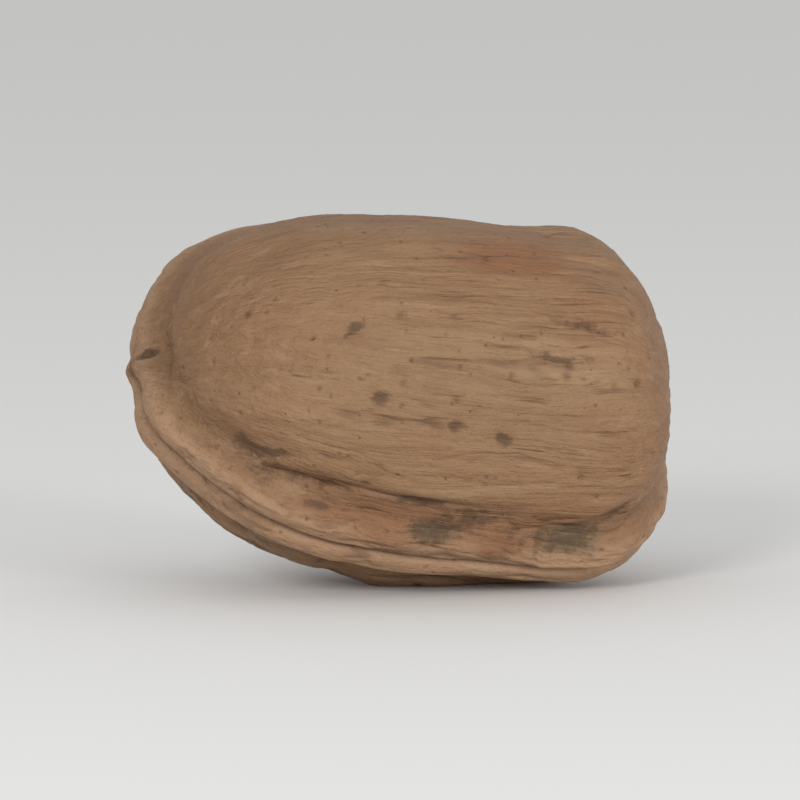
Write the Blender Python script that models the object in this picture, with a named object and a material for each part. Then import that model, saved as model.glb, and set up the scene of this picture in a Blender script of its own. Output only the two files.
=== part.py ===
"""A walnut in its shell, lying on its side on a small flat spot.

The nut is one closed solid. A unit sphere is carried by a Geometry Nodes tree to the nut's
egg-shaped body, and then raised and carved along its normals: two lips along the seam that
circle the nut lengthwise, a narrow gap between them, furrows that run from the point to the
blunt end, a net of wrinkles, the tip at the pointed end and the scar at the blunt end.

The nut's long axis lies along X, with the point towards -X. The body's own Z axis lies in the
plane of the seam, and the nut is rolled about X on to the edge of its far cheek, where a low
swelling is planed to the small flat spot. The outline is fuller on the lower seam's side near the
blunt end, and falls away from there to the point, which stands off the middle.
The origin is under the middle of the nut, on the surface that it lies on.
"""

import math

import bmesh
import bpy
from mathutils import Matrix

# The body, in metres.
LENGTH = 0.0405  # from the point to the blunt end, without the tip
SEAM_DIAMETER = 0.0280  # across the nut in the plane of the seam, without the lips
CHEEK_DIAMETER = 0.0292  # across the two cheeks
WIDEST = 0.735  # where the nut is widest, as a share of its length from the point
POINT_FULLNESS = (3.6, 0.48)  # the two powers of the outline from the widest place to the point
BASE_FULLNESS = (2.9, 0.46)  # the same, to the blunt end
POINT_LIFT = 0.0026  # how far the point stands off the middle of the seam's plane, towards the upper seam
LIFT_POWER = 1.22  # how late that lift sets in on the way from the widest place to the point

# The seam. A place beside it is given in widths of a lip.
LIP_HEIGHT = 0.00095
LIP_WIDTH = 0.0027  # of each of the two lips, where the nut is widest
LIP_END_WIDTH = 0.66  # their width at the two ends, as a share of that
LIP_FULL_WIDTH_FROM = 0.75  # the height of the outline from which they have their whole width
LIP_EDGE = (0.50, 1.20)  # where a lip starts to fall away to the cheek, and its foot
LIP_CREST = (0.55, 0.40)  # the crest of a lip, and how far the crest reaches
CREST_SHARE = 0.3  # of the lip's height
LIP_UNEVENNESS = (0.55, 1.45)  # the least and the most of the lip's height, along the seam
LIP_UNEVENNESS_SIZE = 0.010
GAP_DEPTH = 0.00070
GAP_WIDTH = 0.00030
FLANK_DEPTH = 0.00050  # of the shallow valley beside the lips
FLANK = (1.55, 0.50)  # the valley's middle, and how far it reaches
CHEEK_FROM = (0.70, 1.70)  # where the cheek's own relief sets in, and where it is whole
SEAM_WANDER = 0.0006  # how far the seam strays to either side of its plane
SEAM_WANDER_SIZE = 0.0075

# The relief of the cheeks. A span is one of the noise's values, which run from 0 to 1.
SWELL_HEIGHT = 0.0015
SWELL_SIZE = 0.019
DENT_HEIGHT = 0.0010
DENT_SIZE = 0.0075
FURROW_DEPTH = 0.00055
FURROW_SIZE = 0.0080
FURROW_SPAN = 0.035
WRINKLE_DEPTH = 0.00032
WRINKLE_SIZE = 0.0044
WRINKLE_SPAN = 0.050
WRINKLED_SIZE = 0.0075  # of the patches that have wrinkles
WRINKLED_SPAN = (0.36, 0.58)
NET_DEPTH = 0.00022
NET_SIZE = 0.0040
NET_WIDTH = 0.13  # of the grooves between its cells, as a share of a cell
NETTED_SIZE = 0.0055  # of the patches that have the net
NETTED_SPAN = (0.42, 0.62)
SMOOTH_CHEEK = 0.72  # how much shallower the relief is on the cheek that faces -Y
SMOOTH_FROM = (0.02, 0.45)  # where the smoother cheek begins and is smoothest, as sines from the seam
STRETCH = 0.36  # the relief's scale along the nut, as a share of its scale around it
GATHER = 0.55  # how strongly the furrows run together at the ends, from 0 to 1
BEND = (0.0018, 0.0036, 0.0036)  # how far the furrows stray
BEND_SIZE = 0.0060
SWELL_WHOLE_FROM = 0.4  # the height of the outline from which the lumps are whole, away from the ends
RELIEF_WHOLE_FROM = 0.5  # the same for the furrows, wrinkles and net

# The two ends.
POINT_END = (0.02, 0.12)  # where what belongs to the point ends, as shares of the length
BASE_END = (0.90, 0.98)
TIP_HEIGHT = 0.0008
TIP_RADIUS = 0.0011
HOLLOW_DEPTH = 0.00060  # of the two small hollows beside the tip
CHIN_HEIGHT = 0.0008  # of the seam's fuller edge under the point
CHIN_RING = 0.0045  # how far from the axis that edge is fullest
CHIN_REACH = 0.0025
CHIN_AROUND = math.radians(168)  # on which side of the nut it is, from the upper seam
CHIN_SPAN = (0.80, 0.99)  # how far around it reaches, as cosines from there
SCAR_DEPTH = 0.0010
SCAR_RADIUS = 0.0014

SEED = 6.57  # picks the pattern of all the relief

# How it lies.
ROLL = math.radians(-36)
PITCH = math.radians(3)  # the axis rises a little towards the point
AXIS_HEIGHT = 0.01408  # of the long axis over the surface that the nut lies on
AXIS_SHIFT = (0.00003, -0.00015)  # of the long axis's middle from the origin, along X and Y
BELLY_HEIGHT = 0.0007  # of the low swelling that the nut lies on, under the middle of its long axis
REST_RADIUS = 0.0075  # how far that swelling reaches, and how far around it the relief fades

# The meshes.
MERIDIANS = 220
RINGS = 140
SEAM_CROWDING = 0.24  # how much closer the meridians lie near the seam
KEPT_FACES = 0.165  # the share of the fine mesh's faces that the solid keeps

SHELL_COLOUR = (0.305, 0.184, 0.105, 1.0)
SHELL_ROUGHNESS = 0.62


class Field:
    """One output of a node tree. Arithmetic on it adds Math nodes."""

    def __init__(self, tree, socket):
        self.tree = tree
        self.socket = socket

    def math(self, operation, *others):
        node = self.tree.nodes.new("ShaderNodeMath")
        node.operation = operation
        for socket, value in zip(node.inputs, (self, *others)):
            connect(self.tree, socket, value)
        return Field(self.tree, node.outputs[0])

    def __add__(self, other):
        return self.math("ADD", other)

    def __sub__(self, other):
        return self.math("SUBTRACT", other)

    def __mul__(self, other):
        return self.math("MULTIPLY", other)

    def __truediv__(self, other):
        return self.math("DIVIDE", other)

    def __pow__(self, other):
        return self.math("POWER", other)

    def __neg__(self):
        return self * -1.0

    def __rsub__(self, other):
        return -self + other

    __radd__ = __add__
    __rmul__ = __mul__


def connect(tree, socket, value):
    """Links a Field to the socket, or sets the socket to a plain value."""
    if isinstance(value, Field):
        tree.links.new(value.socket, socket)
    else:
        socket.default_value = value


def add(tree, kind, settings=None, output=0, **inputs):
    """Adds a node and returns one of its outputs. An input's name has _ for each space."""
    node = tree.nodes.new(kind)
    for name, value in (settings or {}).items():
        setattr(node, name, value)
    for name, value in inputs.items():
        connect(tree, node.inputs[name.replace("_", " ")], value)
    return Field(tree, node.outputs[output])


def vector(tree, x, y, z):
    return add(tree, "ShaderNodeCombineXYZ", X=x, Y=y, Z=z)


def parts_of(tree, value):
    """The X, Y and Z of a vector."""
    return [add(tree, "ShaderNodeSeparateXYZ", output=axis, Vector=value) for axis in range(3)]


def noise(tree, place, size, detail=2.0, output=0):
    """Smooth noise from 0 to 1 whose features are about size across. The seed picks its pattern."""
    return add(
        tree,
        "ShaderNodeTexNoise",
        {"noise_dimensions": "4D"},
        output,
        Vector=place,
        W=SEED,
        Scale=1.0 / size,
        Detail=detail,
    )


def step(tree, value, low, high):
    """0 below low and 1 above high, smooth in between."""
    return add(
        tree,
        "ShaderNodeMapRange",
        {"interpolation_type": "SMOOTHSTEP"},
        Value=value,
        From_Min=low,
        From_Max=high,
    )


def hump(value, width):
    """A bell curve of the value, 1 at 0."""
    share = value / width
    return (-(share * share)).math("EXPONENT")


def outline(along, side, fullness):
    """The outline's height from 1 at the widest place to 0 at one end."""
    first_power, second_power = fullness
    reach = (along * side).math("MAXIMUM", 0.0)
    return (1.0 - reach**first_power).math("MAXIMUM", 0.0) ** second_power


def body(tree):
    """The smooth body: (place on it, height of the outline from 0 to 1, share of the length, around)."""
    unit_x, unit_y, unit_z = parts_of(tree, add(tree, "GeometryNodeInputPosition"))
    share = unit_x * 0.5 + 0.5
    from_widest = share - WIDEST
    height = outline(from_widest, -1.0 / WIDEST, POINT_FULLNESS) * outline(
        from_widest, 1.0 / (1.0 - WIDEST), BASE_FULLNESS
    )
    lift = (from_widest * (-1.0 / WIDEST)).math("MAXIMUM", 0.0) ** LIFT_POWER * POINT_LIFT
    turn = unit_y.math("ARCTAN2", unit_z)
    turn = turn - (turn * 2.0).math("SINE") * SEAM_CROWDING
    sideways = turn.math("SINE")
    upwards = turn.math("COSINE")
    place = vector(
        tree,
        (share - 0.5) * LENGTH,
        height * sideways * (CHEEK_DIAMETER / 2),
        height * upwards * (SEAM_DIAMETER / 2) + lift,
    )
    return place, height, share, (sideways, upwards)


def seam_height(tree, place, height):
    """(height of the lips, gap and flanks, 0 on the seam and 1 out on the cheeks)."""
    _, across, _ = parts_of(tree, place)
    wander = (noise(tree, place, SEAM_WANDER_SIZE) - 0.5) * (2 * SEAM_WANDER)
    from_seam = (across + wander).math("ABSOLUTE")
    widening = step(tree, height, 0.0, LIP_FULL_WIDTH_FROM) * (1.0 - LIP_END_WIDTH)
    widths = from_seam / ((widening + LIP_END_WIDTH) * LIP_WIDTH)
    crest, crest_reach = LIP_CREST
    crested = hump(widths - crest, crest_reach) * CREST_SHARE + (1.0 - CREST_SHARE)
    least, most = LIP_UNEVENNESS
    uneven = noise(tree, place, LIP_UNEVENNESS_SIZE, 1.0) * (most - least) + least
    lips = (1.0 - step(tree, widths, *LIP_EDGE)) * crested * uneven * LIP_HEIGHT
    gap = hump(from_seam, GAP_WIDTH) * GAP_DEPTH
    flank, flank_reach = FLANK
    flanks = hump(widths - flank, flank_reach) * FLANK_DEPTH
    return lips - gap - flanks, step(tree, widths, *CHEEK_FROM)


def line(tree, place, size, span):
    """1 along the winding lines where a noise passes through its middle value, 0 away from them."""
    return hump(noise(tree, place, size, 1.0) - 0.5, span)


def patches(tree, place, size, span):
    """1 in some patches about size across, and 0 between them."""
    return step(tree, noise(tree, place, size), *span)


def relief_depth(tree, place, height, around):
    """The depth of the furrows and of the net of wrinkles."""
    along, _, _ = parts_of(tree, place)
    reach = height**GATHER * (CHEEK_DIAMETER / 2)
    sideways, upwards = around
    stretched = vector(tree, along * STRETCH, sideways * reach, upwards * reach)
    stray = add(
        tree,
        "ShaderNodeVectorMath",
        {"operation": "SUBTRACT"},
        Vector=noise(tree, stretched, BEND_SIZE, output=1),
    )
    stray.socket.node.inputs[1].default_value = (0.5, 0.5, 0.5)
    bent = tree.nodes.new("ShaderNodeVectorMath")
    bent.operation = "MULTIPLY_ADD"
    connect(tree, bent.inputs[0], stray)
    bent.inputs[1].default_value = BEND
    connect(tree, bent.inputs[2], stretched)
    bent = Field(tree, bent.outputs[0])

    furrows = line(tree, bent, FURROW_SIZE, FURROW_SPAN) * FURROW_DEPTH
    wrinkled = patches(tree, stretched, WRINKLED_SIZE, WRINKLED_SPAN)
    wrinkles = line(tree, bent, WRINKLE_SIZE, WRINKLE_SPAN) * wrinkled * WRINKLE_DEPTH
    edge = add(
        tree,
        "ShaderNodeTexVoronoi",
        {"feature": "DISTANCE_TO_EDGE"},
        Vector=bent,
        Scale=1.0 / NET_SIZE,
    )
    net = hump(edge, NET_WIDTH) * patches(tree, stretched, NETTED_SIZE, NETTED_SPAN) * NET_DEPTH
    smoother = step(tree, -sideways, *SMOOTH_FROM) * SMOOTH_CHEEK
    return (furrows + wrinkles + net) * (1.0 - smoother)


def at_rest_spot(tree, place):
    """1 where the nut lies and 0 away from it. The relief fades there, so that the flat spot is whole."""
    under = tree.nodes.new("ShaderNodeVectorMath")
    under.operation = "DISTANCE"
    connect(tree, under.inputs[0], place)
    lift = POINT_LIFT * ((WIDEST - 0.5) / WIDEST) ** LIFT_POWER
    under.inputs[1].default_value = (
        0.0,
        -math.sin(ROLL) * CHEEK_DIAMETER / 2,
        -math.cos(ROLL) * SEAM_DIAMETER / 2 + lift,
    )
    return hump(Field(tree, under.outputs["Value"]), REST_RADIUS)


def end_height(tree, height, share, around):
    """The tip, its two hollows and the fuller edge at the point, and the scar at the blunt end."""
    ring = height * (CHEEK_DIAMETER / 2)
    sideways, upwards = around
    at_point = 1.0 - step(tree, share, *POINT_END)
    at_base = step(tree, share, *BASE_END)
    tip = hump(ring, TIP_RADIUS) * at_point * TIP_HEIGHT
    hollows = hump(ring - 2.0 * TIP_RADIUS, TIP_RADIUS) * sideways * sideways * at_point * HOLLOW_DEPTH
    towards_chin = sideways * math.sin(CHIN_AROUND) + upwards * math.cos(CHIN_AROUND)
    chin = hump(ring - CHIN_RING, CHIN_REACH) * step(tree, towards_chin, *CHIN_SPAN) * at_point * CHIN_HEIGHT
    scar = hump(ring, SCAR_RADIUS) * at_base * SCAR_DEPTH
    return tip - hollows + chin - scar


def swell_height(tree, place):
    """The low lumps and dents that make the nut uneven."""
    swell = (noise(tree, place, SWELL_SIZE, 1.0) - 0.5) * SWELL_HEIGHT
    return swell + (noise(tree, place, DENT_SIZE, 1.0) - 0.5) * DENT_HEIGHT


def moved(tree, geometry, **where):
    node = tree.nodes.new("GeometryNodeSetPosition")
    tree.links.new(geometry, node.inputs["Geometry"])
    for name, value in where.items():
        connect(tree, node.inputs[name], value)
    return node.outputs["Geometry"]


def captured(tree, geometry, values):
    """Keeps the values as they are before the points move, and returns (geometry, the kept values)."""
    node = tree.nodes.new("GeometryNodeCaptureAttribute")
    for name, (kind, value) in values.items():
        node.capture_items.new(kind, name)
        connect(tree, node.inputs[name], value)
    tree.links.new(geometry, node.inputs["Geometry"])
    return node.outputs["Geometry"], [Field(tree, node.outputs[name]) for name in values]


def nut_tree():
    """The Geometry Nodes tree that turns a unit sphere into the nut, with its long axis along X."""
    tree = bpy.data.node_groups.new("walnut", "GeometryNodeTree")
    tree.interface.new_socket("Geometry", in_out="INPUT", socket_type="NodeSocketGeometry")
    tree.interface.new_socket("Geometry", in_out="OUTPUT", socket_type="NodeSocketGeometry")
    geometry = tree.nodes.new("NodeGroupInput").outputs["Geometry"]

    place, height, share, (sideways, upwards) = body(tree)
    values = {
        "place": ("VECTOR", place),
        "height": ("FLOAT", height),
        "share": ("FLOAT", share),
        "sideways": ("FLOAT", sideways),
        "upwards": ("FLOAT", upwards),
    }
    geometry, kept = captured(tree, geometry, values)
    place, height, share, *around = kept
    geometry = moved(tree, geometry, Position=place)

    seam, on_cheek = seam_height(tree, place, height)
    at_rest = at_rest_spot(tree, place)
    rise = seam + swell_height(tree, place) * step(tree, height, 0.0, SWELL_WHOLE_FROM)
    shown = on_cheek * step(tree, height, 0.0, RELIEF_WHOLE_FROM) * (1.0 - at_rest)
    rise = rise - relief_depth(tree, place, height, around) * shown
    rise = rise + end_height(tree, height, share, around) + at_rest * BELLY_HEIGHT
    offset = tree.nodes.new("ShaderNodeVectorMath")
    offset.operation = "SCALE"
    connect(tree, offset.inputs["Vector"], add(tree, "GeometryNodeInputNormal"))
    connect(tree, offset.inputs["Scale"], rise)
    geometry = moved(tree, geometry, Offset=Field(tree, offset.outputs[0]))
    tree.links.new(geometry, tree.nodes.new("NodeGroupOutput").inputs["Geometry"])
    return tree


def new_collection(name):
    collection = bpy.data.collections.new(name)
    bpy.context.scene.collection.children.link(collection)
    return collection


def shell_material():
    material = bpy.data.materials.new("walnut_shell")
    material.use_nodes = True
    surface = material.node_tree.nodes["Principled BSDF"]
    surface.inputs["Base Color"].default_value = SHELL_COLOUR
    surface.inputs["Roughness"].default_value = SHELL_ROUGHNESS
    return material


def floor_cutter(collection):
    """A block whose top is the surface that the nut lies on: it planes the small flat spot."""
    side = 2 * LENGTH
    mesh = bpy.data.meshes.new("floor_cutter")
    shape = bmesh.new()
    bmesh.ops.create_cube(shape, size=side, matrix=Matrix.Translation((0, 0, -side / 2)))
    shape.to_mesh(mesh)
    shape.free()
    cutter = bpy.data.objects.new("floor_cutter", mesh)
    cutter.hide_render = True
    cutter.display_type = "WIRE"
    collection.objects.link(cutter)
    return cutter


def walnut(collection, cutter):
    """The nut: a sphere with its poles on X, shaped by the tree, thinned to few faces and planed flat."""
    mesh = bpy.data.meshes.new("walnut")
    shape = bmesh.new()
    bmesh.ops.create_uvsphere(
        shape,
        u_segments=MERIDIANS,
        v_segments=RINGS,
        radius=1.0,
        matrix=Matrix.Rotation(math.radians(90), 4, "Y"),
    )
    shape.to_mesh(mesh)
    shape.free()
    mesh.materials.append(shell_material())
    nut = bpy.data.objects.new("walnut", mesh)
    collection.objects.link(nut)
    nut.rotation_euler = (ROLL, PITCH, 0)
    nut.location = (*AXIS_SHIFT, AXIS_HEIGHT)

    nut.modifiers.new("shape", "NODES").node_group = nut_tree()
    thinned = nut.modifiers.new("fewer_faces", "DECIMATE")
    thinned.ratio = KEPT_FACES
    planed = nut.modifiers.new("flat_spot", "BOOLEAN")
    planed.operation = "DIFFERENCE"
    planed.object = cutter
    return nut


def main():
    for old in list(bpy.data.objects):
        bpy.data.objects.remove(old)
    cutter = floor_cutter(new_collection("cutters"))
    walnut(new_collection("walnut"), cutter)


main()
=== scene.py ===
"""A walnut in its shell, lying on its side.

The shell grows from a sphere in a Geometry Nodes tree. The tree draws the body's outline, raises
the two lips of the seam with the gap between them, carves furrows, wrinkles, a net of fine ridges,
pits and a few single dents, and leaves on the surface the masks that the shell's colours follow.

Until the tree lays the nut down, its long axis is X, with the point towards -X, the seam lies in
the XZ plane and the cheeks face Y. Around is 0 on the upper seam, 90 degrees on the far cheek,
180 on the lower seam and 270 on the near cheek. Sizes are in metres where nothing else is said.
"""

import math
from typing import NamedTuple

import bmesh
import bpy
from bpy.props import FloatProperty, FloatVectorProperty, IntProperty, PointerProperty
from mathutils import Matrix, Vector


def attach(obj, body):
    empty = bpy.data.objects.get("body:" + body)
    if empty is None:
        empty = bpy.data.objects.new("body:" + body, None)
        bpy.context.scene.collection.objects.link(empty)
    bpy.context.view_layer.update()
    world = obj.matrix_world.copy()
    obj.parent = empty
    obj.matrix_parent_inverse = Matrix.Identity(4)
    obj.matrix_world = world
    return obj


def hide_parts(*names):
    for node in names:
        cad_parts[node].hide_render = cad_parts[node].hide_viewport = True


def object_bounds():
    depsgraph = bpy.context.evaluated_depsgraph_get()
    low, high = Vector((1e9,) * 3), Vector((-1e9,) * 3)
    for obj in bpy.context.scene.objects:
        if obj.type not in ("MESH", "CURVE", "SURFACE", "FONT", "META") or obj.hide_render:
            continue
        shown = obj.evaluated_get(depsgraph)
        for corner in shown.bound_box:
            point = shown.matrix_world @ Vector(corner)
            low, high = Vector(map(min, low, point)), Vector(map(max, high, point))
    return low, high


bl_info = {
    "name": "Walnut",
    "version": (1, 0, 0),
    "blender": (4, 5, 0),
    "location": "3D View > Sidebar > Walnut",
    "description": "Grows a walnut in its shell and sets it on a plain stage",
    "category": "Add Mesh",
}

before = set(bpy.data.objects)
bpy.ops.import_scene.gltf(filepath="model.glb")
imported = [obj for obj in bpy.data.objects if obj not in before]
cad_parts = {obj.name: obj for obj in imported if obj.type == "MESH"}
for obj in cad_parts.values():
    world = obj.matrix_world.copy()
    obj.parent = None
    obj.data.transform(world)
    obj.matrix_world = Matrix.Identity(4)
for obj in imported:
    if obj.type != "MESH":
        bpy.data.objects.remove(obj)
CAD_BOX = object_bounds()
NODE = "walnut"
BODY = "root"
MILLIMETRE = 0.001


class Pattern(NamedTuple):
    """A noise on the shell."""

    size: float  # how wide its features are, about
    along: float = 1.0  # how much a step along the nut counts: at 0.5 the features are twice as long
    detail: float = 2.0
    roughness: float = 0.5


class Holes(NamedTuple):
    """Small round holes, at most one in each of many cells."""

    cell: float  # how wide a cell is, about
    chosen: tuple  # over which span of chance a cell's hole opens
    wide: float  # the widest hole, in cells


class Mark(NamedTuple):
    """A single dent or stain, with its middle at some place along and around the nut."""

    along: float  # mm from the point
    around: float  # degrees
    long: float  # mm
    wide: float  # mm
    slant: float  # degrees
    depth: float  # mm, below 0 where it stands up
    spot: float = 0.0  # how dark the mark is
    rust: float = 0.0  # how reddish
    moss: float = 0.0  # how grey-green
    pale: float = 0.0  # how much paler and yellower


# The body, as in the part's source. Places along it are shares of its length from the point.
WIDEST = 0.735
POINT_FULLNESS = (3.6, 0.48)
BASE_FULLNESS = (2.9, 0.46)
POINT_LIFT = 0.0026
LIFT_POWER = 1.22
POINT_END = (0.02, 0.12)
BASE_END = (0.90, 0.98)
TIP_RADIUS = 0.0011
HOLLOW_DEPTH = 0.00060
CHIN_RING = 0.0045
CHIN_REACH = 0.0025
CHIN_AROUND = math.radians(168)
CHIN_SPAN = (0.80, 0.99)
SCAR_RADIUS = 0.0014

# How strongly the mesh lines crowd towards the seam, and what every noise starts from.
SEAM_CROWDING = 0.24
SEED = 6.57

# The seam, as in the part's source. Places beside it are given in widths of a lip.
LIP_END_WIDTH = 0.66
LIP_FULL_WIDTH_FROM = 0.75
LIP_EDGE = (0.50, 1.20)
LIP_CREST = (0.55, 0.40)
LIP_SHOULDER = 0.70
LIP_UNEVENNESS = (0.55, 1.45)
LIP_UNEVEN = Pattern(0.010, detail=1.0)
GAP_WIDTH = 0.00030
FLANK = (1.55, 0.50)
CHEEK_FROM = (0.70, 1.70)
SEAM_WANDER = 0.0006
SEAM_WANDERS = Pattern(0.0075)

# The fine line that winds along each lip. Its place, width and wandering are in widths of a lip.
LIP_LINE_PLACE = 0.52
LIP_LINE_WIDTH = 0.10
LIP_LINE_WANDER = 1.6
LIP_LINE_WANDERS = Pattern(0.0045, along=0.5, detail=3.0)
LIP_LINED = Pattern(0.0052)
LIP_LINED_SPAN = (0.36, 0.56)

# The relief of the cheeks, as in the part's source. A span is one of a noise's values, from 0 to 1.
SWELLS = Pattern(0.019, detail=1.0)
DENTS = Pattern(0.0075, detail=1.0)
FURROWS = Pattern(0.0080, detail=1.0)
FURROW_SPAN = 0.035
WRINKLES = Pattern(0.0044, detail=1.0)
WRINKLE_SPAN = 0.050
WRINKLED = Pattern(0.0075)
WRINKLED_SPAN = (0.36, 0.58)
NET_SIZE = 0.0040
NET_WIDTH = 0.13
NETTED = Pattern(0.0055)
NETTED_SPAN = (0.42, 0.62)
SMOOTH_CHEEK = 0.72
SMOOTH_FROM = (0.02, 0.45)
STRETCH = 0.36
GATHER = 0.55
BEND = (0.0018, 0.0036, 0.0036)
BENDS = Pattern(0.0060)
SWELL_WHOLE_FROM = 0.4
RELIEF_WHOLE_FROM = 0.5

# The fine grain: creases, finer threads, ribs, crumbs and pits. The near cheek has less of the first two.
CREASES = Pattern(0.0027, along=0.55, detail=1.5)
CREASE_SPAN = 0.050
CREASED = Pattern(0.0042)
CREASED_SPAN = (0.34, 0.56)
CREASES_SMOOTHED = 0.80
THREADS = Pattern(0.0015, along=0.40, detail=1.5)
THREAD_SPAN = 0.070
THREADED = Pattern(0.0026)
THREADED_SPAN = (0.44, 0.64)
THREADS_LOST_AT_ENDS = 0.45
THREAD_SHARE = 0.55
THREADS_SMOOTHED = 0.25
RIBS = Pattern(0.0010, along=0.30)
RIB_SHARE = 1.5
CRUMBS = Pattern(0.0006)
CRUMB_SHARE = 0.7
RAGGEDNESS = 0.0007
RAGGED = Pattern(0.0010)
PITS = Holes(0.0021, chosen=(0.50, 1.00), wide=0.20)
LEAST_HOLE = 0.01

# What is left of the grain and the pits at the ends and on the lips.
GRAIN_AT_ENDS = 0.4
GRAIN_ON_LIPS = 0.5
PITS_ON_LIPS = 0.15

# The way that the nut lies, as in the part's source.
ROLL = math.radians(-36)
PITCH = math.radians(3)
AXIS_PLACE = (0.00003, -0.00015, 0.01408)
BELLY_HEIGHT = 0.0007
REST_RADIUS = 0.0075

# How far a single mark reaches at most, how uneven its edge is, and how its direction is measured.
MARK_REACH = (0.014, 0.018)
MARK_EDGE = Pattern(0.0012, along=0.45, detail=3.0)
MARK_EDGE_SHARE = 1.4
MARK_EDGE_LEAST = 0.3
TANGENT_STEP = 0.1 * MILLIMETRE

TINTS = ("spot", "rust", "moss", "pale")

# The hole beside the tip is a dent whose dark colour is painted shade in the hole.
HOLE_BESIDE_TIP = (Mark(0.07, 300, 1.15, 0.8, 0, 0.80, spot=1.20),)

SPOTS_ON_NEAR_CHEEK = (
    Mark(12.1, 259, 1.8, 1.3, 30, 0.18, spot=0.90),
    Mark(15.0, 248, 1.8, 1.1, 0, 0.08, spot=0.32),
    Mark(13.8, 235, 1.6, 1.4, 0, 0.22, spot=0.85),
    Mark(19.7, 229, 1.4, 1.2, 0, 0.18, spot=1.00),
    Mark(23.6, 226, 2.2, 1.2, -25, 0.20, spot=1.00),
    Mark(17.3, 239, 1.2, 0.9, 0, 0.08, spot=0.35),
    Mark(22.7, 238, 1.4, 1.0, 0, 0.06, spot=0.28),
    Mark(29.2, 222, 1.2, 0.8, 0, 0.10, spot=0.40),
)

LONG_DENTS_ON_NEAR_CHEEK = (
    Mark(8.6, 242, 4.2, 0.9, 0, 0.08, spot=0.30),
    Mark(27.9, 252, 5.0, 1.1, -22, 0.30, spot=0.62),
    Mark(30.8, 263, 3.8, 1.2, -24, 0.30, spot=0.58),
    Mark(16.6, 283, 5.8, 0.8, 0, 0.22, spot=0.75),
)

# The first three marks are dents along the crease, darkened with painted shade; the next two are reddish
# stains and the last a dark streak.
CREASE_ABOVE_NEAR_VALLEY = (
    Mark(4.6, 206, 6.4, 2.4, 12, 0.28, spot=0.50),
    Mark(7.2, 208, 5.4, 1.1, 14, 0.20, spot=0.62),
    Mark(6.7, 198, 4.8, 1.9, 10, 0.22, spot=0.58),
    Mark(10.8, 200, 4.4, 0.9, 0, 0.30, spot=0.75, rust=0.5),
    Mark(10.5, 192, 3.4, 0.7, 0, 0.20, spot=0.55, rust=0.8),
    Mark(18.5, 201, 3.8, 0.9, 0, 0.32, spot=1.30),
)

STAINS_IN_NEAR_VALLEY = (
    Mark(17.5, 191, 15.0, 4.0, 0, 0.10, spot=0.28, rust=1.0),
    Mark(19.8, 190, 4.6, 2.2, 0, 0.15, spot=0.46, moss=1.0),
    Mark(23.0, 197, 5.0, 2.4, 8, 0.15, spot=0.52, moss=0.3),
    Mark(25.6, 188, 4.8, 2.2, 10, 0.15, spot=0.46, rust=0.8),
    Mark(28.1, 187, 0.7, 2.2, 0, 0.15, spot=0.45),
    Mark(30.8, 192, 5.2, 2.6, 0, 0.10, spot=0.68, moss=1.2),
)

RIDGES_IN_NEAR_VALLEY = (
    Mark(27.5, 195, 13.0, 3.4, 0, -0.35),
    Mark(31.2, 184, 7.5, 1.0, 0, -0.24),
    Mark(35.8, 191, 5.0, 1.1, 38, -0.24),
    Mark(28.8, 188, 0.9, 2.6, 0, -0.18),
)

CREASE_AT_BLUNT_END = (Mark(34.5, 202, 4.6, 1.4, 30, 0.24, spot=0.70),)

TINTS_OF_NEAR_CHEEK = (
    Mark(24.9, 290, 9.0, 3.6, 0, 0.0, rust=1.25),
    Mark(31.2, 273, 10.0, 9.0, 0, 0.0, spot=0.12, rust=0.60),
    Mark(6.0, 268, 7.0, 2.4, 0, 0.0, rust=0.35),
    Mark(20.0, 240, 26.0, 13.0, 0, 0.0, pale=0.9),
)

MARKS_ON_TOP_AND_FAR_SIDE = (
    Mark(18.0, 140, 1.7, 1.2, 0, 0.20, spot=0.80),
    Mark(27.0, 118, 2.2, 1.4, 20, 0.22, spot=0.70),
    Mark(9.5, 88, 1.5, 1.3, 0, 0.18, spot=0.60),
    Mark(22.0, 62, 8.0, 3.0, 10, 0.12, spot=0.20, rust=0.7),
    Mark(33.0, 75, 4.0, 2.6, 0, 0.16, spot=0.40, moss=0.6),
    Mark(25.0, 330, 1.6, 1.2, 0, 0.18, spot=0.60),
    Mark(16.0, 95, 22.0, 11.0, 0, 0.0, pale=0.7),
)

MARKS = (
    *HOLE_BESIDE_TIP,
    *SPOTS_ON_NEAR_CHEEK,
    *LONG_DENTS_ON_NEAR_CHEEK,
    *CREASE_ABOVE_NEAR_VALLEY,
    *STAINS_IN_NEAR_VALLEY,
    *RIDGES_IN_NEAR_VALLEY,
    *CREASE_AT_BLUNT_END,
    *TINTS_OF_NEAR_CHEEK,
    *MARKS_ON_TOP_AND_FAR_SIDE,
)

# The patterns that only the shell's material has, and the depth at which the furrows' mask is 1.
CLOUDS = Pattern(0.009, detail=3.0)
BLOTCHES = Pattern(0.0042, along=0.8, detail=4.0, roughness=0.6)
FLECKS = Pattern(0.0009, detail=4.0, roughness=0.65)
STREAKS = Pattern(0.0011, along=0.30, detail=5.0, roughness=0.65)
HAIRS = Pattern(0.00030, along=0.16, detail=3.0, roughness=0.6)
FIBRES = Pattern(0.00080, along=0.14, detail=3.0, roughness=0.6)
PORES = Holes(0.00075, chosen=(0.62, 0.95), wide=0.24)
FULLY_CARVED = 0.0006

FLOOR_SIDES = 96
FLOOR_ROUGHNESS = 0.9
CAMERA_CLIP = 0.01


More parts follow.
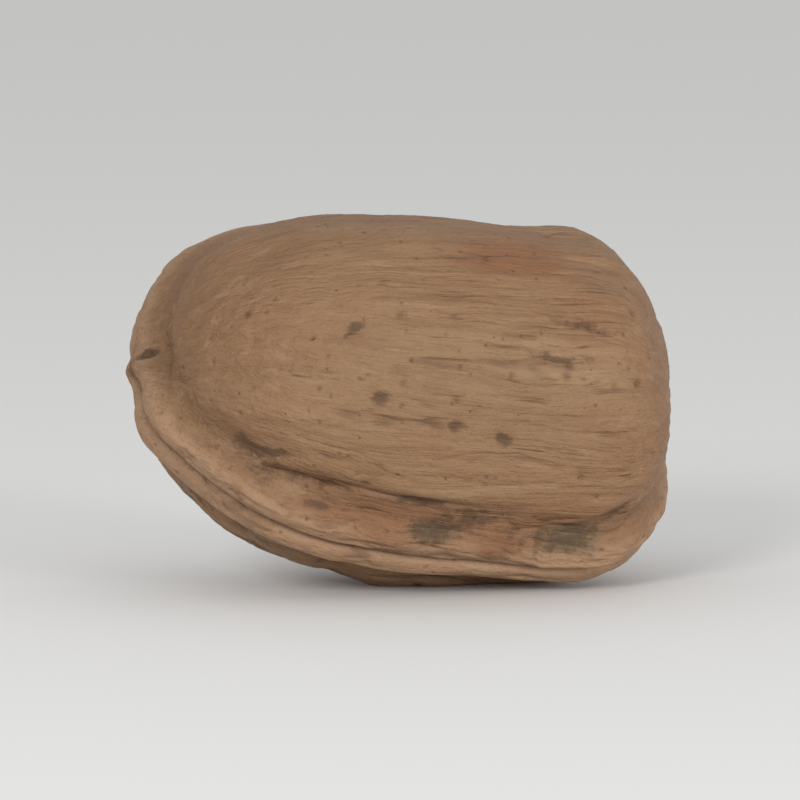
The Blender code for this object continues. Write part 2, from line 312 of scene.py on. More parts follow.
class Field:
    """One output of a node tree. Arithmetic on it adds Math nodes."""

    def __init__(self, graph, socket):
        self.graph = graph
        self.socket = socket

    def math(self, operation, *others):
        return self.graph.node("ShaderNodeMath", {"operation": operation}, dict(enumerate((self, *others))))

    def lifted(self, least):
        """Least where this is 0, and 1 where this is 1."""
        return self * (1.0 - least) + least

    def __add__(self, other):
        return self.math("ADD", other)

    def __sub__(self, other):
        return self.math("SUBTRACT", other)

    def __rsub__(self, other):
        return self.graph.node("ShaderNodeMath", {"operation": "SUBTRACT"}, {0: other, 1: self})

    def __mul__(self, other):
        return self.math("MULTIPLY", other)

    def __truediv__(self, other):
        return self.math("DIVIDE", other)

    def __pow__(self, other):
        return self.math("POWER", other)

    def __neg__(self):
        return self * -1.0

    __radd__ = __add__
    __rmul__ = __mul__


class Graph:
    """Adds nodes to one node tree."""

    def __init__(self, tree):
        self.tree = tree

    def add(self, kind, settings=None, inputs=None):
        """Adds a node, makes its settings and then feeds its inputs."""
        made = self.tree.nodes.new(kind)
        for name, value in (settings or {}).items():
            setattr(made, name, value)
        for key, value in (inputs or {}).items():
            self.feed(self.socket(made.inputs, key), value)
        return made

    def node(self, kind, settings=None, inputs=None, output=0):
        """Adds a node and returns one of its outputs, picked by its place, identifier or name."""
        return Field(self, self.socket(self.add(kind, settings, inputs).outputs, output))

    @staticmethod
    def socket(sockets, key):
        if isinstance(key, int):
            return sockets[key]
        for socket in sockets:
            if key in (socket.identifier, socket.name):
                return socket
        raise KeyError(key)

    def feed(self, socket, value):
        """Links a Field to the socket, or sets the socket to a plain value."""
        if isinstance(value, Field):
            self.tree.links.new(value.socket, socket)
        else:
            socket.default_value = value

    def vector(self, x, y, z):
        return self.node("ShaderNodeCombineXYZ", inputs={"X": x, "Y": y, "Z": z})

    def axes(self, value):
        """The X, Y and Z of a vector."""
        made = self.add("ShaderNodeSeparateXYZ", inputs={0: value})
        return [Field(self, socket) for socket in made.outputs]

    def vectors(self, operation, *values, output=0):
        return self.node("ShaderNodeVectorMath", {"operation": operation}, dict(enumerate(values)), output)

    def noise(self, place, pattern, output=0):
        """The pattern's smooth noise from 0 to 1, or three of them as a vector with output 1."""
        if pattern.along != 1.0:
            place = self.vectors("MULTIPLY", place, (pattern.along, 1.0, 1.0))
        inputs = {
            "Vector": place,
            "W": SEED,
            "Scale": 1.0 / pattern.size,
            "Detail": pattern.detail,
            "Roughness": pattern.roughness,
        }
        return self.node("ShaderNodeTexNoise", {"noise_dimensions": "4D"}, inputs, output)

    def cells(self, place, size, feature="F1", output="Distance"):
        """The distance from the middle, or from the edge, of the nearest of many cells, or its own colour."""
        inputs = {"Vector": place, "Scale": 1.0 / size}
        return self.node("ShaderNodeTexVoronoi", {"feature": feature}, inputs, output)

    def step(self, value, low, high):
        """0 below low and 1 above high, smooth in between."""
        inputs = {"Value": value, "From Min": low, "From Max": high}
        return self.node("ShaderNodeMapRange", {"interpolation_type": "SMOOTHSTEP"}, inputs)

    def hump(self, value, width):
        """A bell curve of the value, 1 at 0."""
        share = value / width
        return (-(share * share)).math("EXPONENT")

    def line(self, place, pattern, span):
        """1 along the winding lines where the pattern passes through its middle value, 0 away from them."""
        return self.hump(self.noise(place, pattern) - 0.5, span)

    def patches(self, place, pattern, span):
        """1 in the patches where the pattern is past the span, 0 where it is short of it."""
        return self.step(self.noise(place, pattern), *span)

    def holes(self, place, kind):
        """1 in the middle of each hole, 0 away from them."""
        chance = self.axes(self.cells(place, kind.cell, output="Color"))[0]
        width = self.step(chance, *kind.chosen) * kind.wide + LEAST_HOLE
        return self.hump(self.cells(place, kind.cell), width)

    def mixed(self, share, colour, other):
        """The first colour where the share is 0, the other where it is 1."""
        inputs = {"Factor_Float": share, "A_Color": colour, "B_Color": other}
        return self.node("ShaderNodeMix", {"data_type": "RGBA"}, inputs, "Result_Color")


# The smooth body and the seam.


def outline_value(along, fullness):
    """The outline's height, from 1 at the widest place to 0 at one end, for a share of the way there."""
    first_power, second_power = fullness
    return (1.0 - along**first_power) ** second_power


def place_on_body(sizes, along, around):
    """The place on the smooth body at some metres from the point and an angle around the nut."""
    share = along / sizes.length
    to_point = max(0.0, (WIDEST - share) / WIDEST)
    to_base = max(0.0, (share - WIDEST) / (1.0 - WIDEST))
    height = outline_value(to_point, POINT_FULLNESS) * outline_value(to_base, BASE_FULLNESS)
    across = height * math.sin(around) * sizes.cheek_diameter / 2
    up = height * math.cos(around) * sizes.seam_diameter / 2 + POINT_LIFT * to_point**LIFT_POWER
    return Vector((along - sizes.length / 2, across, up))


def outline(from_widest, side, fullness):
    """The outline's height, as outline_value gives it, on one side of the widest place."""
    reach = (from_widest * side).math("MAXIMUM", 0.0)
    first_power, second_power = fullness
    return (1.0 - reach**first_power).math("MAXIMUM", 0.0) ** second_power


def body(graph, inputs):
    """The smooth body: its place, the outline's height, the share of the length, and around."""
    unit_x, unit_y, unit_z = graph.axes(graph.node("GeometryNodeInputPosition"))
    share = unit_z * 0.5 + 0.5
    from_widest = share - WIDEST
    height = outline(from_widest, -1.0 / WIDEST, POINT_FULLNESS)
    height = height * outline(from_widest, 1.0 / (1.0 - WIDEST), BASE_FULLNESS)
    lift = (from_widest * (-1.0 / WIDEST)).math("MAXIMUM", 0.0) ** LIFT_POWER * POINT_LIFT
    turn = unit_y.math("ARCTAN2", -unit_x)
    turn = turn - (turn * 2.0).math("SINE") * SEAM_CROWDING
    sideways = turn.math("SINE")
    upwards = turn.math("COSINE")
    place = graph.vector(
        (share - 0.5) * inputs["Length"],
        height * sideways * inputs["Cheek diameter"] * 0.5,
        height * upwards * inputs["Seam diameter"] * 0.5 + lift,
    )
    return place, height, share, sideways, upwards


def seam(graph, inputs, place, height):
    """The seam: (height, 1 on the lips, 1 in the gap, 1 in the valleys beside, 1 out on the cheeks)."""
    across = graph.axes(place)[1]
    wander = (graph.noise(place, SEAM_WANDERS) - 0.5) * (2 * SEAM_WANDER)
    from_seam = (across + wander).math("ABSOLUTE")
    lip_width = graph.step(height, 0.0, LIP_FULL_WIDTH_FROM).lifted(LIP_END_WIDTH) * inputs["Lip width"]
    widths = from_seam / lip_width
    crest, crest_reach = LIP_CREST
    crested = graph.hump(widths - crest, crest_reach).lifted(LIP_SHOULDER)
    least, most = LIP_UNEVENNESS
    uneven = graph.noise(place, LIP_UNEVEN) * (most - least) + least
    on_lips = 1.0 - graph.step(widths, *LIP_EDGE)
    in_gap = graph.hump(from_seam, GAP_WIDTH)
    flank, flank_reach = FLANK
    beside = graph.hump(widths - flank, flank_reach)
    rise = on_lips * crested * uneven * inputs["Lip height"] - in_gap * inputs["Gap depth"]
    rise = rise - beside * inputs["Flank depth"] - lip_lines(graph, place, widths) * inputs["Lip line depth"]
    return rise, on_lips, in_gap, beside, graph.step(widths, *CHEEK_FROM)


def lip_lines(graph, place, widths):
    """1 in the fine line that winds along the crest of each lip."""
    strayed = (graph.noise(place, LIP_LINE_WANDERS) - 0.5) * LIP_LINE_WANDER
    line = graph.hump(widths - LIP_LINE_PLACE + strayed, LIP_LINE_WIDTH)
    return line * graph.patches(place, LIP_LINED, LIP_LINED_SPAN)


def ends(graph, inputs, height, share, around):
    """The tip, its two hollows and the fuller edge at the point, and the scar at the blunt end."""
    sideways, upwards = around
    ring = height * inputs["Cheek diameter"] * 0.5
    at_point = 1.0 - graph.step(share, *POINT_END)
    at_base = graph.step(share, *BASE_END)
    tip = graph.hump(ring, TIP_RADIUS) * at_point * inputs["Tip height"]
    hollows = graph.hump(ring - 2.0 * TIP_RADIUS, TIP_RADIUS) * sideways * sideways * at_point * HOLLOW_DEPTH
    towards_chin = sideways * math.sin(CHIN_AROUND) + upwards * math.cos(CHIN_AROUND)
    chin = graph.hump(ring - CHIN_RING, CHIN_REACH) * graph.step(towards_chin, *CHIN_SPAN) * at_point
    scar = graph.hump(ring, SCAR_RADIUS) * at_base
    return tip - hollows + chin * inputs["Chin height"] - scar * inputs["Scar depth"]


def at_rest_spot(graph, sizes, place):
    """1 where the nut lies and 0 away from it."""
    lift = POINT_LIFT * ((WIDEST - 0.5) / WIDEST) ** LIFT_POWER
    across = -math.sin(ROLL) * sizes.cheek_diameter / 2
    under = Vector((0.0, across, -math.cos(ROLL) * sizes.seam_diameter / 2 + lift))
    return graph.hump(graph.vectors("DISTANCE", place, under, output="Value"), REST_RADIUS)


# The relief of the cheeks, the fine grain and the single marks.


def stretched_places(graph, inputs, place, height, sideways, upwards):
    """The surface drawn short along the nut and gathered at its ends, straight and bent."""
    along = graph.axes(place)[0]
    reach = height**GATHER * inputs["Cheek diameter"] * 0.5
    stretched = graph.vector(along * STRETCH, sideways * reach, upwards * reach)
    stray = graph.vectors("SUBTRACT", graph.noise(stretched, BENDS, output=1), (0.5, 0.5, 0.5))
    bent = graph.vectors("MULTIPLY_ADD", stray, BEND, stretched)
    return stretched, bent


def furrows(graph, inputs, stretched, bent, near_cheek):
    """The depth of the furrows, wrinkles and net that the solid has too."""
    deep = graph.line(bent, FURROWS, FURROW_SPAN) * inputs["Furrow depth"]
    wrinkled = graph.patches(stretched, WRINKLED, WRINKLED_SPAN)
    wrinkles = graph.line(bent, WRINKLES, WRINKLE_SPAN) * wrinkled * inputs["Wrinkle depth"]
    edge = graph.cells(bent, NET_SIZE, "DISTANCE_TO_EDGE")
    netted = graph.patches(stretched, NETTED, NETTED_SPAN)
    net = graph.hump(edge, NET_WIDTH) * netted * inputs["Net depth"]
    return (deep + wrinkles + net) * (1.0 - near_cheek * SMOOTH_CHEEK)


def grain(graph, place, height, stretched, bent, near_cheek):
    """The fine grain that only the visible shell has: (height, how deep in a crease, how deep in a pit)."""
    creases = graph.line(bent, CREASES, CREASE_SPAN) * graph.patches(stretched, CREASED, CREASED_SPAN)
    threaded = graph.noise(bent, THREADED) + (height - 1.0) * THREADS_LOST_AT_ENDS
    threads = graph.line(bent, THREADS, THREAD_SPAN) * graph.step(threaded, *THREADED_SPAN) * THREAD_SHARE
    in_crease = creases * (1.0 - near_cheek * CREASES_SMOOTHED)
    in_crease = in_crease + threads * (1.0 - near_cheek * THREADS_SMOOTHED)
    ribs = graph.noise(bent, RIBS) - 0.5
    crumbs = graph.noise(place, CRUMBS) - 0.5
    ragged = graph.vectors("MULTIPLY_ADD", graph.noise(place, RAGGED, output=1), (RAGGEDNESS,) * 3, place)
    pits = graph.holes(ragged, PITS)
    return ribs * RIB_SHARE + crumbs * CRUMB_SHARE - in_crease, in_crease, pits


def mark_shown(graph, sizes, place, mark, edge):
    """1 in the middle of a single mark, less and less towards its uneven edge, and 0 far from it."""
    turn = math.radians(mark.around)
    slant = math.radians(mark.slant)
    along = mark.along * MILLIMETRE
    middle = place_on_body(sizes, along, turn)
    lengthwise = (place_on_body(sizes, along + TANGENT_STEP, turn) - middle).normalized()
    crosswise = Vector((0, math.cos(turn), -math.sin(turn)))
    long_way = lengthwise * math.cos(slant) + crosswise * math.sin(slant)
    wide_way = crosswise * math.cos(slant) - lengthwise * math.sin(slant)
    away = graph.vectors("SUBTRACT", place, middle)
    spread = 0.0
    for way, size in ((long_way, mark.long), (wide_way, mark.wide)):
        share = graph.vectors("DOT_PRODUCT", away, way * (2 / (size * MILLIMETRE)), output="Value")
        spread = share * share + spread
    near = 1.0 - graph.step(graph.vectors("LENGTH", away, output="Value"), *MARK_REACH)
    return (-(spread * edge)).math("EXPONENT") * near


def marks(graph, sizes, place):
    """The sums of the single marks: their depth, and how dark, reddish, grey-green and pale they are."""
    edge = graph.noise(place, MARK_EDGE) * MARK_EDGE_SHARE + MARK_EDGE_LEAST
    totals = dict.fromkeys(("depth", *TINTS), 0.0)
    for mark in MARKS:
        shown = mark_shown(graph, sizes, place, mark, edge)
        totals["depth"] = shown * (mark.depth * MILLIMETRE) + totals["depth"]
        for tint in TINTS:
            strength = getattr(mark, tint)
            if strength:
                totals[tint] = shown * strength + totals[tint]
    return totals


# The shell's Geometry Nodes tree.


class Geometry:
    """The mesh on its way through a Geometry Nodes tree."""

    def __init__(self, graph, start):
        self.graph = graph
        self.flow = start

    def through(self, kind, settings=None, inputs=None):
        self.flow = self.graph.node(kind, settings, {0: self.flow, **(inputs or {})})

    def kept(self, values):
        """Keeps values as they are before the points move. The place is a vector, the others are numbers."""
        made = self.graph.add("GeometryNodeCaptureAttribute", inputs={"Geometry": self.flow})
        for name, value in values.items():
            made.capture_items.new("VECTOR" if name == "place" else "FLOAT", name)
            self.graph.feed(made.inputs[name], value)
        self.flow = Field(self.graph, made.outputs["Geometry"])
        return [Field(self.graph, made.outputs[name]) for name in values]

    def stored(self, name, value, data_type="FLOAT"):
        """Leaves a value on the points, for the materials to read."""
        settings = {"data_type": data_type, "domain": "POINT"}
        self.through("GeometryNodeStoreNamedAttribute", settings, {"Name": name, "Value": value})

    def moved(self, **where):
        self.through("GeometryNodeSetPosition", None, where)


SOCKET_TYPES = {
    int: "NodeSocketInt",
    float: "NodeSocketFloat",
    bpy.types.Material: "NodeSocketMaterial",
}


def shell_tree(sizes, values):
    """The Geometry Nodes tree that grows the whole shell, in the place where it lies."""
    tree = bpy.data.node_groups.new("walnut_shell", "GeometryNodeTree")
    graph = Graph(tree)
    tree.interface.new_socket("Geometry", in_out="OUTPUT", socket_type="NodeSocketGeometry")
    for label, value in values.items():
        tree.interface.new_socket(label, in_out="INPUT", socket_type=SOCKET_TYPES[type(value)])
    group_input = graph.add("NodeGroupInput")
    inputs = {socket.name: Field(graph, socket) for socket in group_input.outputs if socket.name}

    turns = {"Segments": inputs["Meridians"], "Rings": inputs["Rings"]}
    mesh = Geometry(graph, graph.node("GeometryNodeMeshUVSphere", inputs=turns))
    names = ("place", "height", "share", "sideways", "upwards")
    place, height, share, sideways, upwards = mesh.kept(dict(zip(names, body(graph, inputs))))
    mesh.moved(Position=place)

    stretched, bent = stretched_places(graph, inputs, place, height, sideways, upwards)
    seam_height, on_lips, in_gap, beside, on_cheek = seam(graph, inputs, place, height)
    swell = (graph.noise(place, SWELLS) - 0.5) * inputs["Swell height"]
    swell = swell + (graph.noise(place, DENTS) - 0.5) * inputs["Dent height"]
    away_from_ends = graph.step(height, 0.0, RELIEF_WHOLE_FROM)
    at_rest = at_rest_spot(graph, sizes, place)
    near_cheek = graph.step(-sideways, *SMOOTH_FROM)
    carved = furrows(graph, inputs, stretched, bent, near_cheek)
    carved = carved * (on_cheek * away_from_ends * (1.0 - at_rest))
    fine, in_crease, pits = grain(graph, place, height, stretched, bent, near_cheek)
    grained = away_from_ends.lifted(GRAIN_AT_ENDS) * on_cheek.lifted(GRAIN_ON_LIPS)
    pits = pits * on_cheek.lifted(PITS_ON_LIPS) * away_from_ends
    single = marks(graph, sizes, place)

    rise = seam_height + swell * graph.step(height, 0.0, SWELL_WHOLE_FROM) - carved
    rise = rise + ends(graph, inputs, height, share, (sideways, upwards)) + at_rest * BELLY_HEIGHT
    rise = rise + fine * grained * inputs["Grain depth"] - pits * inputs["Pit depth"] - single["depth"]

    mesh.stored("carved", carved / FULLY_CARVED)
    mesh.stored("fine", fine)
    mesh.stored("crease", in_crease * grained)
    mesh.stored("pits", pits)
    mesh.stored("lips", on_lips)
    mesh.stored("beside", beside)
    mesh.stored("gap", in_gap)
    mesh.stored("bent", bent, "FLOAT_VECTOR")
    for tint in TINTS:
        mesh.stored(tint, single[tint])

    normal = graph.node("GeometryNodeInputNormal")
    mesh.moved(Offset=graph.node("ShaderNodeVectorMath", {"operation": "SCALE"}, {0: normal, "Scale": rise}))
    mesh.through("GeometryNodeTransform", None, {"Translation": AXIS_PLACE, "Rotation": (ROLL, PITCH, 0)})
    # What would be under the floor is planed off, which leaves the flat spot that the nut lies on.
    x, y, z = graph.axes(graph.node("GeometryNodeInputPosition"))
    mesh.moved(Position=graph.vector(x, y, z.math("MAXIMUM", 0.0)))
    mesh.through("GeometryNodeSetShadeSmooth")
    mesh.through("GeometryNodeRealizeInstances")
    mesh.through("GeometryNodeSetMaterial", None, {"Material": inputs["Material"]})
    graph.add("NodeGroupOutput", None, {"Geometry": mesh.flow})
    return tree


# The shell's material.


def attribute(graph, name, output="Fac"):
    return graph.node("ShaderNodeAttribute", {"attribute_name": name}, output=output)


def dark_furrow_floors(graph, bent):
    """Painted shade: dark hairlines at the bottom of the furrows, wrinkles, creases and threads."""
    carved = attribute(graph, "carved")
    crease = attribute(graph, "crease")
    # Each row: the pattern, the shaded line's span of its noise, the mask, the mask's span and the strength.
    rows = (
        (FURROWS, 0.009, carved, (0.25, 0.70), 1.0),
        (WRINKLES, 0.016, carved, (0.25, 0.70), 0.8),
        (CREASES, 0.024, crease, (0.30, 0.80), 0.7),
        (THREADS, 0.032, crease, (0.12, 0.45), 0.7),
    )
    furrow_floors = 0.0
    for pattern, span, mask, mask_span, strength in rows:
        furrow_floors = graph.line(bent, pattern, span) * graph.step(mask, *mask_span) * strength + furrow_floors
    return furrow_floors


def shell_material(finish):
    """The dry shell: tan cheeks, paler lips, furrows painted dark brown as shade, and the stains of the green
    husk.
    """
    material = bpy.data.materials.new("walnut_shell")
    material.use_nodes = True
    graph = Graph(material.node_tree)
    surface = material.node_tree.nodes["Principled BSDF"]

    place = graph.node("ShaderNodeTexCoord", output="Object")
    bent = attribute(graph, "bent", "Vector")
    clouds = graph.noise(place, CLOUDS)
    blotches = graph.noise(bent, BLOTCHES)
    flecks = graph.noise(place, FLECKS)
    streaks = graph.noise(bent, STREAKS)
    hairs = graph.noise(bent, HAIRS)
    fibres = graph.noise(bent, FIBRES)
    pores = graph.holes(place, PORES)
    furrow_floors = dark_furrow_floors(graph, bent)
    speckled = (flecks - 0.5) * 0.8 + (streaks - 0.5) * 0.8 + (fibres - 0.5) * 0.7

    def broken(name, share):
        """A mask that the tree left on the surface, with its edges broken up by the speckles."""
        return attribute(graph, name) + speckled * share

    in_furrow = graph.step(broken("carved", 0.5), 0.25, 0.95)
    in_crease = graph.step(broken("crease", 0.5), 0.15, 0.95)
    dark = graph.step(attribute(graph, "spot") * 1.25 + speckled * 1.7, 0.28, 1.08)
    # Each layer covers those before it: its mask, where the mask starts and is full, strength and colour.
    layers = (
        (clouds, 0.36, 0.64, 1.00, finish.warm_shell),
        (broken("pale", 0.5), 0.10, 0.90, 0.55, finish.pale),
        (blotches, 0.48, 0.70, 0.30, finish.brown),
        (broken("lips", 0.3), 0.20, 0.90, 0.80, finish.lip),
        # The valley beside each lip: brown that is partly staining and partly painted shade in the valley.
        (broken("beside", 1.6), 0.25, 1.00, 0.60, finish.brown),
        (attribute(graph, "fine") * 0.35 + speckled, 0.05, 0.50, 0.45, finish.worn),
        (-speckled - (hairs - 0.5) * 0.5, 0.03, 0.36, 0.50, finish.brown),
        (fibres, 0.52, 0.64, 0.45, finish.brown),
        (-fibres, -0.46, -0.34, 0.30, finish.worn),
        # Painted shade: the creases and furrows are darkened towards the furrow colour, where shade falls in
        # them.
        (in_crease, 0.0, 1.0, 0.36, finish.furrow),
        (in_furrow, 0.0, 1.0, 0.66, finish.furrow),
        (broken("rust", 1.2), 0.20, 1.00, 0.72, finish.rust),
        (broken("moss", 1.0), 0.20, 1.10, 0.80, finish.moss),
        # Painted shade: dark lines at the bottom of the furrows and creases.
        (furrow_floors + speckled * 0.5, 0.25, 1.10, 0.36, finish.spot),
        (pores + speckled * 0.5, 0.30, 1.00, 0.45, finish.spot),
        # Painted shade: the pits are darkened towards the furrow colour.
        (attribute(graph, "pits"), 0.20, 0.90, 0.70, finish.furrow),
        # The spot marks: real stains, and painted shade in the hole beside the tip and along the crease above
        # the near valley.
        (dark, 0.0, 1.0, 0.72, finish.spot),
        (broken("gap", 0.5), 0.25, 0.95, 0.60, finish.furrow),
    )
    colour = tuple(finish.shell)
    for mask, low, high, strength, tint in layers:
        colour = graph.mixed(graph.step(mask, low, high) * strength, colour, tuple(tint))
    graph.feed(surface.inputs["Base Color"], colour)

    roughness = finish.roughness + in_furrow * 0.15 + in_crease * 0.10 + dark * 0.10 - speckled * 0.15
    graph.feed(surface.inputs["Roughness"], roughness)
    surface.inputs["Specular IOR Level"].default_value = finish.shine

    relief = streaks * 0.8 + fibres * 0.5 + hairs * 0.40 + flecks * 0.6 - pores * 0.30 - furrow_floors * 0.35
    bump = {"Strength": 1.0, "Distance": finish.relief_depth, "Height": relief}
    graph.feed(surface.inputs["Normal"], graph.node("ShaderNodeBump", None, bump))
    return material


# The pieces and the stage.


def piece_from_tree(name, tree, values):
    """A plain mesh object made by a Geometry Nodes tree whose inputs have the named values."""
    piece = bpy.data.objects.new(name, bpy.data.meshes.new(name))
    bpy.context.scene.collection.objects.link(piece)
    modifier = piece.modifiers.new(name, "NODES")
    modifier.node_group = tree
    for socket in tree.interface.items_tree:
        if socket.in_out == "INPUT":
            modifier[socket.identifier] = values[socket.name]
    depsgraph = bpy.context.evaluated_depsgraph_get()
    mesh = bpy.data.meshes.new_from_object(piece.evaluated_get(depsgraph), depsgraph=depsgraph)
    piece.modifiers.remove(modifier)
    piece.data = mesh
    mesh.name = name
    return piece


def plain_material(name, colour, roughness):
    material = bpy.data.materials.new(name)
    material.use_nodes = True
    surface = material.node_tree.nodes["Principled BSDF"]
    surface.inputs["Base Color"].default_value = (*colour, 1.0)
    surface.inputs["Roughness"].default_value = roughness
    return material


def add_floor(stage):
    mesh = bpy.data.meshes.new("floor")
    shape = bmesh.new()
    bmesh.ops.create_circle(shape, cap_ends=True, segments=FLOOR_SIDES, radius=stage.floor_radius)
    shape.to_mesh(mesh)
    shape.free()
    mesh.materials.append(plain_material("floor", stage.floor_colour, FLOOR_ROUGHNESS))
    floor = bpy.data.objects.new("floor", mesh)
    bpy.context.scene.collection.objects.link(floor)


def add_lamp(name, place, size, power, target):
    """A round lamp that faces the target."""
    data = bpy.data.lights.new(name, "AREA")
    data.shape = "DISK"
    data.size = size
    data.energy = power
    lamp = bpy.data.objects.new(name, data)
    lamp.location = place
    lamp.rotation_euler = (target - Vector(place)).to_track_quat("-Z", "Y").to_euler()
    bpy.context.scene.collection.objects.link(lamp)


def add_world(strength):
    """Even white light from all around."""
    world = bpy.data.worlds.new("studio")
    bpy.context.scene.world = world
    world.use_nodes = True
    background = world.node_tree.nodes["Background"]
    background.inputs["Color"].default_value = (1.0, 1.0, 1.0, 1.0)
    background.inputs["Strength"].default_value = strength


def add_camera(stage, target):
    """A long lens at the photograph's angle, far enough back for the nut to fill its share of the frame."""
    data = bpy.data.cameras.new("camera")
    data.lens = stage.lens
    data.clip_start = CAMERA_CLIP
    camera = bpy.data.objects.new("camera", data)
    turn, rise = stage.azimuth, stage.elevation
    back = Vector((math.sin(turn) * math.cos(rise), -math.cos(turn) * math.cos(rise), math.sin(rise)))
    low, high = CAD_BOX
    frame_width = (high[0] - low[0]) / stage.fill
    camera.location = target + back * (frame_width * stage.lens / data.sensor_width)
    camera.rotation_euler = (-back).to_track_quat("-Z", "Y").to_euler()
    bpy.context.scene.collection.objects.link(camera)
    bpy.context.scene.camera = camera


# What a user can change.


def length_property(label, about, default):
    return FloatProperty(name=label, description=about, default=default, unit="LENGTH", precision=5)


def power_property(label, about, default):
    return FloatProperty(name=label, description=about, default=default, unit="POWER", min=0.0)


def angle_property(label, about, degrees):
    return FloatProperty(name=label, description=about, default=math.radians(degrees), subtype="ANGLE")


def share_property(label, about, default):
    return FloatProperty(name=label, description=about, default=default, min=0.0, max=1.0, subtype="FACTOR")


def place_property(label, about, default):
    return FloatVectorProperty(
        name=label, description=about, default=default, subtype="TRANSLATION", unit="LENGTH"
    )


def colour_property(label, about, *default):
    return FloatVectorProperty(
        name=label, description=about, default=(*default, 1.0), size=4, min=0.0, max=1.0, subtype="COLOR"
    )


class WalnutSizes(bpy.types.PropertyGroup):
    """The shell's sizes. Each is an input of the shell's tree too."""

    length: length_property("Length", "From the point to the blunt end, without the tip", 0.0405)
    seam_diameter: length_property("Seam diameter", "Across the seam's plane, without the lips", 0.0280)
    cheek_diameter: length_property("Cheek diameter", "Across the two cheeks", 0.0292)
    lip_height: length_property("Lip height", "How far the seam's two lips stand up", 0.00095)
    lip_width: length_property("Lip width", "Width of each lip where the nut is widest", 0.0027)
    gap_depth: length_property("Gap depth", "Depth of the gap between the lips", 0.00055)
    flank_depth: length_property("Flank depth", "Depth of the valley beside each lip", 0.00050)
    lip_line_depth: length_property("Lip line depth", "Depth of the fine line along each lip", 0.00016)
    swell_height: length_property("Swell height", "Height of the broad swellings", 0.0015)
    dent_height: length_property("Dent height", "Height of the smaller lumps", 0.0010)
    furrow_depth: length_property("Furrow depth", "Depth of the long furrows", 0.00055)
    wrinkle_depth: length_property("Wrinkle depth", "Depth of the wrinkles between the furrows", 0.00032)
    net_depth: length_property("Net depth", "Depth of the net between its fine ridges", 0.00022)
    grain_depth: length_property("Grain depth", "Height of the fine lengthwise grain", 0.00022)
    pit_depth: length_property("Pit depth", "Depth of the small pits", 0.00028)
    tip_height: length_property("Tip height", "How far the tip stands out at the point", 0.0008)
    chin_height: length_property("Chin height", "Height of the seam's fuller edge under the point", 0.0008)
    scar_depth: length_property("Scar depth", "Depth of the scar at the blunt end", 0.0010)
    meridians: IntProperty(name="Meridians", description="Mesh lines from end to end", default=430, min=16)
    rings: IntProperty(name="Rings", description="Mesh lines around the nut", default=224, min=8)


class WalnutFinish(bpy.types.PropertyGroup):
    """The shell's colours and finish."""

    shell: colour_property("Shell", "The cheeks", 0.268, 0.153, 0.078)
    pale: colour_property("Pale", "The paler, yellower middle of the cheeks", 0.266, 0.160, 0.083)
    warm_shell: colour_property("Warm shell", "The warmer clouds on the cheeks", 0.250, 0.133, 0.066)
    lip: colour_property("Lip", "The seam's two lips", 0.352, 0.212, 0.123)
    # Brown also fills the valleys beside the lips, partly as staining and partly as painted shade.
    brown: colour_property("Brown", "The browner blotches and streaks", 0.195, 0.102, 0.049)
    worn: colour_property("Worn", "The ridges, where the shell is rubbed pale", 0.370, 0.240, 0.138)
    # The furrow colour is painted shade in the furrows, creases and pits, and the dark joint in the gap.
    furrow: colour_property("Furrow", "The furrows, wrinkles and pits, and the gap", 0.135, 0.069, 0.034)
    rust: colour_property("Rust", "The reddish stains", 0.216, 0.094, 0.043)
    moss: colour_property("Moss", "The grey-green stains", 0.140, 0.104, 0.056)
    # Spot is the colour of the dark stains and pores, and also painted shade at the furrow floors, in the
    # hole beside the tip and in the crease above the near valley.
    spot: colour_property("Spot", "The dark spots, veins and pores", 0.078, 0.042, 0.022)
    roughness: share_property("Roughness", "Roughness of the bare cheeks", 0.50)
    shine: share_property("Shine", "Strength of the highlights", 0.30)
    relief_depth: length_property("Relief depth", "Depth of the relief that is finer than the mesh", 0.00042)


class WalnutStage(bpy.types.PropertyGroup):
    """The floor, the light and the camera."""

    azimuth: angle_property("Azimuth", "Camera's turn around the nut", -20)
    elevation: angle_property("Elevation", "Camera's height over the horizon", 6)
    lens: FloatProperty(name="Lens", description="Focal length in millimetres", default=300.0, min=1.0)
    fill: share_property("Fill", "The nut's share of the frame", 0.70)
    floor_radius: length_property("Floor radius", "Radius of the floor", 3.0)
    floor_colour: FloatVectorProperty(
        name="Floor colour", description="The plain floor", default=(0.86, 0.86, 0.85), subtype="COLOR"
    )
    lamp_size: length_property("Lamp size", "Width of each round lamp", 0.20)
    key_place: place_property("Key lamp's place", "At the upper left, before the nut", (-0.40, -0.46, 0.27))
    key_power: power_property("Key lamp's power", "Power of the main lamp", 1.62)
    fill_place: place_property("Fill lamp's place", "Low at the right, before the nut", (0.30, -0.60, 0.11))
    fill_power: power_property("Fill lamp's power", "Power of the second lamp", 1.85)
    world_strength: FloatProperty(
        name="World", description="Strength of the even light from all around", default=0.61, min=0.0
    )


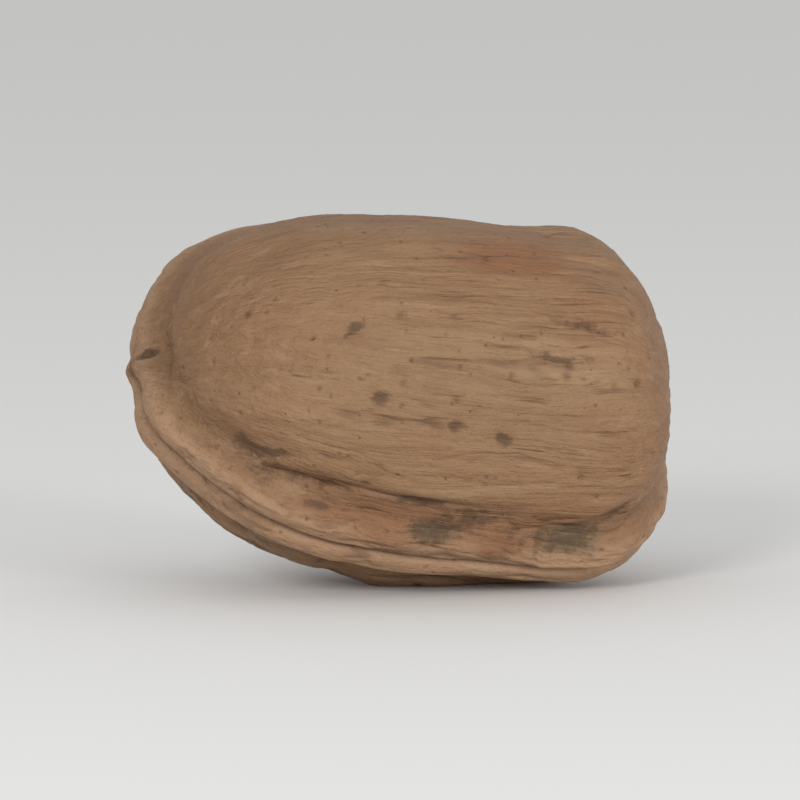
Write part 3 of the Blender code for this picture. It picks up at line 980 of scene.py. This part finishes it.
class WALNUT_OT_add_shell(bpy.types.Operator):
    """Grow the walnut's shell"""

    bl_idname = "walnut.add_shell"
    bl_label = "Add the shell"

    def execute(self, context):
        sizes = context.scene.walnut_sizes
        labels = {name: sizes.bl_rna.properties[name].name for name in WalnutSizes.__annotations__}
        values = {label: getattr(sizes, name) for name, label in labels.items()}
        values["Material"] = shell_material(context.scene.walnut_finish)
        piece = piece_from_tree("shell", shell_tree(sizes, values), values)
        if not piece.data.polygons:
            raise RuntimeError("The shell's tree gave no mesh")
        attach(piece, BODY)
        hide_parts(NODE)
        return {"FINISHED"}


class WALNUT_OT_set_stage(bpy.types.Operator):
    """Add the floor, the lamps and the camera"""

    bl_idname = "walnut.set_stage"
    bl_label = "Set the stage"

    def execute(self, context):
        stage = context.scene.walnut_stage
        low, high = (Vector(corner) for corner in CAD_BOX)
        target = (low + high) / 2
        add_floor(stage)
        add_world(stage.world_strength)
        add_lamp("key", stage.key_place, stage.lamp_size, stage.key_power, target)
        add_lamp("fill", stage.fill_place, stage.lamp_size, stage.fill_power, target)
        add_camera(stage, target)
        context.scene.view_settings.view_transform = "Standard"
        return {"FINISHED"}


class WALNUT_PT_panel(bpy.types.Panel):
    """The walnut's sizes, finish and stage"""

    bl_idname = "WALNUT_PT_panel"
    bl_label = "Walnut"
    bl_space_type = "VIEW_3D"
    bl_region_type = "UI"
    bl_category = "Walnut"

    def draw(self, context):
        groups = (
            (context.scene.walnut_sizes, WalnutSizes, WALNUT_OT_add_shell.bl_idname),
            (context.scene.walnut_finish, WalnutFinish, None),
            (context.scene.walnut_stage, WalnutStage, WALNUT_OT_set_stage.bl_idname),
        )
        for group, kind, operator in groups:
            box = self.layout.box()
            for name in kind.__annotations__:
                box.prop(group, name)
            if operator:
                box.operator(operator)


CLASSES = (
    WalnutSizes,
    WalnutFinish,
    WalnutStage,
    WALNUT_OT_add_shell,
    WALNUT_OT_set_stage,
    WALNUT_PT_panel,
)


def register():
    for cls in CLASSES:
        bpy.utils.register_class(cls)
    bpy.types.Scene.walnut_sizes = PointerProperty(type=WalnutSizes)
    bpy.types.Scene.walnut_finish = PointerProperty(type=WalnutFinish)
    bpy.types.Scene.walnut_stage = PointerProperty(type=WalnutStage)


def unregister():
    del bpy.types.Scene.walnut_stage
    del bpy.types.Scene.walnut_finish
    del bpy.types.Scene.walnut_sizes
    for cls in reversed(CLASSES):
        bpy.utils.unregister_class(cls)


def main():
    register()
    bpy.ops.walnut.add_shell()
    bpy.ops.walnut.set_stage()


if __name__ == "__main__":
    main()
